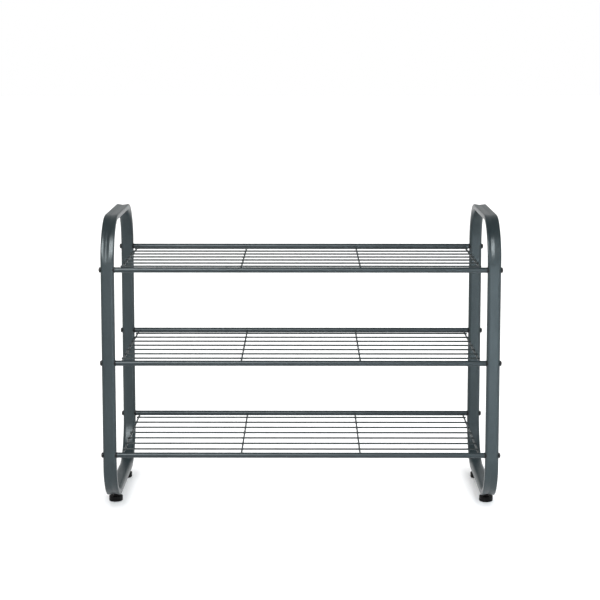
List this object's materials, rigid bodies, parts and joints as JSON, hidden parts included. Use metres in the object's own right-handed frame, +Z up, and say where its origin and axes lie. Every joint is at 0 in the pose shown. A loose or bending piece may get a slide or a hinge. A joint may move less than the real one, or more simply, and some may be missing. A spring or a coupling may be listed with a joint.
{
  "type": "tiered shoe rack",
  "caption": "Free-standing metal shoe rack: bent flat-oval side frames, wire shelves bolted between them and screw-adjusted feet.",
  "frame": {"origin": "middle of the footprint, on the floor under the pads", "axes": "+Z up, +X to the right along the shelves, +Y to the back; the front faces -Y"},
  "size_m": [0.7066, 0.352, 0.527],
  "materials": {
    "frame_paint": "satin metallic grey powder coat",
    "rail_paint": "satin metallic grey powder coat",
    "wire_paint": "satin metallic grey powder coat",
    "black_screw": "black zinc, satin",
    "black_plastic": "matte moulded",
    "foot_plastic": "matte moulded",
    "zinc_steel": "zinc plated"
  },
  "bodies": {
    "rack": {"side_frame_left": "frame_paint", "side_frame_right": "frame_paint", "bottom_front_rail": "rail_paint", "bottom_rear_rail": "rail_paint", "bottom_long_wires": "wire_paint", "bottom_cross_wires": "wire_paint", "middle_front_rail": "rail_paint", "middle_rear_rail": "rail_paint", "middle_long_wires": "wire_paint", "middle_cross_wires": "wire_paint", "top_front_rail": "rail_paint", "top_rear_rail": "rail_paint", "top_long_wires": "wire_paint", "top_cross_wires": "wire_paint", "bottom_rail_inserts": "zinc_steel", "middle_rail_inserts": "zinc_steel", "top_rail_inserts": "zinc_steel", "bottom_rail_spacers": "black_plastic", "middle_rail_spacers": "black_plastic", "top_rail_spacers": "black_plastic", "bottom_rail_screws": "black_screw", "middle_rail_screws": "black_screw", "top_rail_screws": "black_screw", "foot_nuts": "zinc_steel"},
    "pad_front_left": {"foot_pad_front_left": "foot_plastic"},
    "stud_front_left": {"foot_stud_front_left": "black_screw"},
    "pad_front_right": {"foot_pad_front_right": "foot_plastic"},
    "stud_front_right": {"foot_stud_front_right": "black_screw"},
    "pad_rear_left": {"foot_pad_rear_left": "foot_plastic"},
    "stud_rear_left": {"foot_stud_rear_left": "black_screw"},
    "pad_rear_right": {"foot_pad_rear_right": "foot_plastic"},
    "stud_rear_right": {"foot_stud_rear_right": "black_screw"}
  },
  "joints": [
    {"name": "foot_height_front_left", "type": "slide", "parent": "rack", "child": "pad_front_left", "axis": [0, 0, 1], "range_m": [-0.004, 0.0015]},
    {"name": "foot_turn_front_left", "type": "hinge", "parent": "pad_front_left", "child": "stud_front_left", "pos_m": [-0.338, -0.08393, 0], "axis": [0, 0, 1], "range_deg": [-1450, 550]},
    {"name": "foot_height_front_right", "type": "slide", "parent": "rack", "child": "pad_front_right", "axis": [0, 0, 1], "range_m": [-0.004, 0.0015]},
    {"name": "foot_turn_front_right", "type": "hinge", "parent": "pad_front_right", "child": "stud_front_right", "pos_m": [0.338, -0.08393, 0], "axis": [0, 0, 1], "range_deg": [-1450, 550]},
    {"name": "foot_height_rear_left", "type": "slide", "parent": "rack", "child": "pad_rear_left", "axis": [0, 0, 1], "range_m": [-0.004, 0.0015]},
    {"name": "foot_turn_rear_left", "type": "hinge", "parent": "pad_rear_left", "child": "stud_rear_left", "pos_m": [-0.338, 0.08393, 0], "axis": [0, 0, 1], "range_deg": [-1450, 550]},
    {"name": "foot_height_rear_right", "type": "slide", "parent": "rack", "child": "pad_rear_right", "axis": [0, 0, 1], "range_m": [-0.004, 0.0015]},
    {"name": "foot_turn_rear_right", "type": "hinge", "parent": "pad_rear_right", "child": "stud_rear_right", "pos_m": [0.338, 0.08393, 0], "axis": [0, 0, 1], "range_deg": [-1450, 550]}
  ],
  "couplings": [
    {"joint": "foot_turn_front_left", "follows": "foot_height_front_left", "rad_per_m": 6283.2},
    {"joint": "foot_turn_front_right", "follows": "foot_height_front_right", "rad_per_m": 6283.2},
    {"joint": "foot_turn_rear_left", "follows": "foot_height_rear_left", "rad_per_m": 6283.2},
    {"joint": "foot_turn_rear_right", "follows": "foot_height_rear_right", "rad_per_m": 6283.2}
  ]
}
